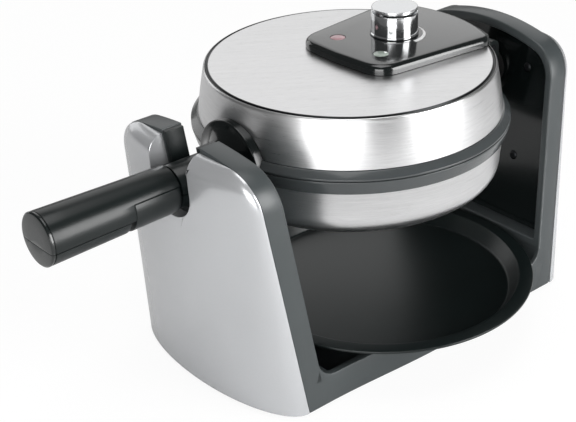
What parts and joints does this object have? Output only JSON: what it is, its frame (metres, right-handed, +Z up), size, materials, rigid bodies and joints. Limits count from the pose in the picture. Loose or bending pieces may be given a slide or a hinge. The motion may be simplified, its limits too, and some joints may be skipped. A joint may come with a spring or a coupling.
{
  "type": "rotating waffle maker",
  "caption": "Rotating waffle maker: hinged round steel drum with handle and control panel, flipping between two leaning towers over a round drip tray.",
  "frame": {"origin": "middle of the bounding box in X and Y, on the ground plane under the feet", "axes": "+Z up, -Y along the handle, +Y towards the hinge tower, +X towards the open side over which the drip tray hangs"},
  "size_m": [0.2372, 0.4042, 0.2145],
  "materials": {
    "steel": "linear and circular brushed",
    "chrome": "bright",
    "silver_paint": "silver satin lacquer",
    "dark_plastic": "dark grey satin",
    "black_gloss": "high gloss",
    "black_satin": "satin",
    "ring_plastic": "semi gloss",
    "tray_coating": "black non-stick",
    "cast_coated": "die-cast, black non-stick coating",
    "aluminium": "mill finish",
    "element_steel": "oxidised sheath",
    "rubber": "matte",
    "nylon": "natural",
    "screw_steel": "zinc plated",
    "red_lens": "tinted, translucent",
    "green_lens": "tinted, translucent",
    "ceramic": "glazed"
  },
  "bodies": {
    "frame": {"frame_shell": "dark_plastic", "bearing_block": "dark_plastic", "front_tower_cover": "silver_paint", "rear_tower_cover": "silver_paint", "journal_cradle": "dark_plastic", "rear_inner_panel": "black_gloss", "pivot_bush": "nylon", "cord_inlet": "rubber", "terminal_block": "nylon", "base_plate": "dark_plastic", "foot_1": "rubber", "foot_2": "rubber", "foot_3": "rubber", "foot_4": "rubber", "base_screw_1": "screw_steel", "base_screw_2": "screw_steel", "base_screw_3": "screw_steel", "base_screw_4": "screw_steel", "panel_screw_1": "screw_steel", "panel_screw_2": "screw_steel", "panel_screw_3": "screw_steel", "panel_screw_4": "screw_steel"},
    "tray": {"drip_tray": "tray_coating"},
    "lower_drum": {"lower_housing": "steel", "lower_ring": "ring_plastic", "lower_waffle_plate": "cast_coated", "lower_heating_element": "element_steel", "lower_reflector": "aluminium", "lower_handle_root": "black_satin", "lower_collar": "black_gloss", "pivot_bracket": "black_satin", "hinge_pin": "screw_steel", "pivot_clip": "screw_steel"},
    "lid": {"upper_housing": "steel", "upper_ring": "ring_plastic", "upper_waffle_plate": "cast_coated", "upper_heating_element": "element_steel", "upper_reflector": "aluminium", "control_panel": "black_gloss", "power_lens": "red_lens", "ready_lens": "green_lens", "power_lamp": "nylon", "ready_lamp": "nylon", "thermostat": "ceramic", "thermal_fuse": "ceramic", "upper_handle": "black_satin", "handle_end_cap": "black_gloss", "upper_collar": "black_gloss", "hinge_leaf": "black_satin"},
    "knob": {"knob_body": "chrome", "knob_cap": "steel", "knob_pointer": "nylon"},
    "lock": {"handle_lock": "black_satin"}
  },
  "joints": [
    {"name": "drum_flip", "type": "hinge", "parent": "frame", "child": "lower_drum", "pos_m": [-0.01195, 0.04168, 0.146], "axis": [0, 1, 0], "range_deg": [0, 180]},
    {"name": "lid_hinge", "type": "hinge", "parent": "lower_drum", "child": "lid", "pos_m": [-0.01195, 0.16068, 0.168], "axis": [1, 0, 0], "range_deg": [-75, 0]},
    {"name": "knob_turn", "type": "hinge", "parent": "lid", "child": "knob", "pos_m": [-0.01195, 0.08268, 0.196], "axis": [0, 0, 1], "range_deg": [0, 175]},
    {"name": "lock_slide", "type": "slide", "parent": "lid", "child": "lock", "axis": [0, 1, 0], "range_m": [0, 0.004]},
    {"name": "tray_slide", "type": "slide", "parent": "frame", "child": "tray", "axis": [1, 0, 0], "range_m": [0, 0.2]}
  ]
}
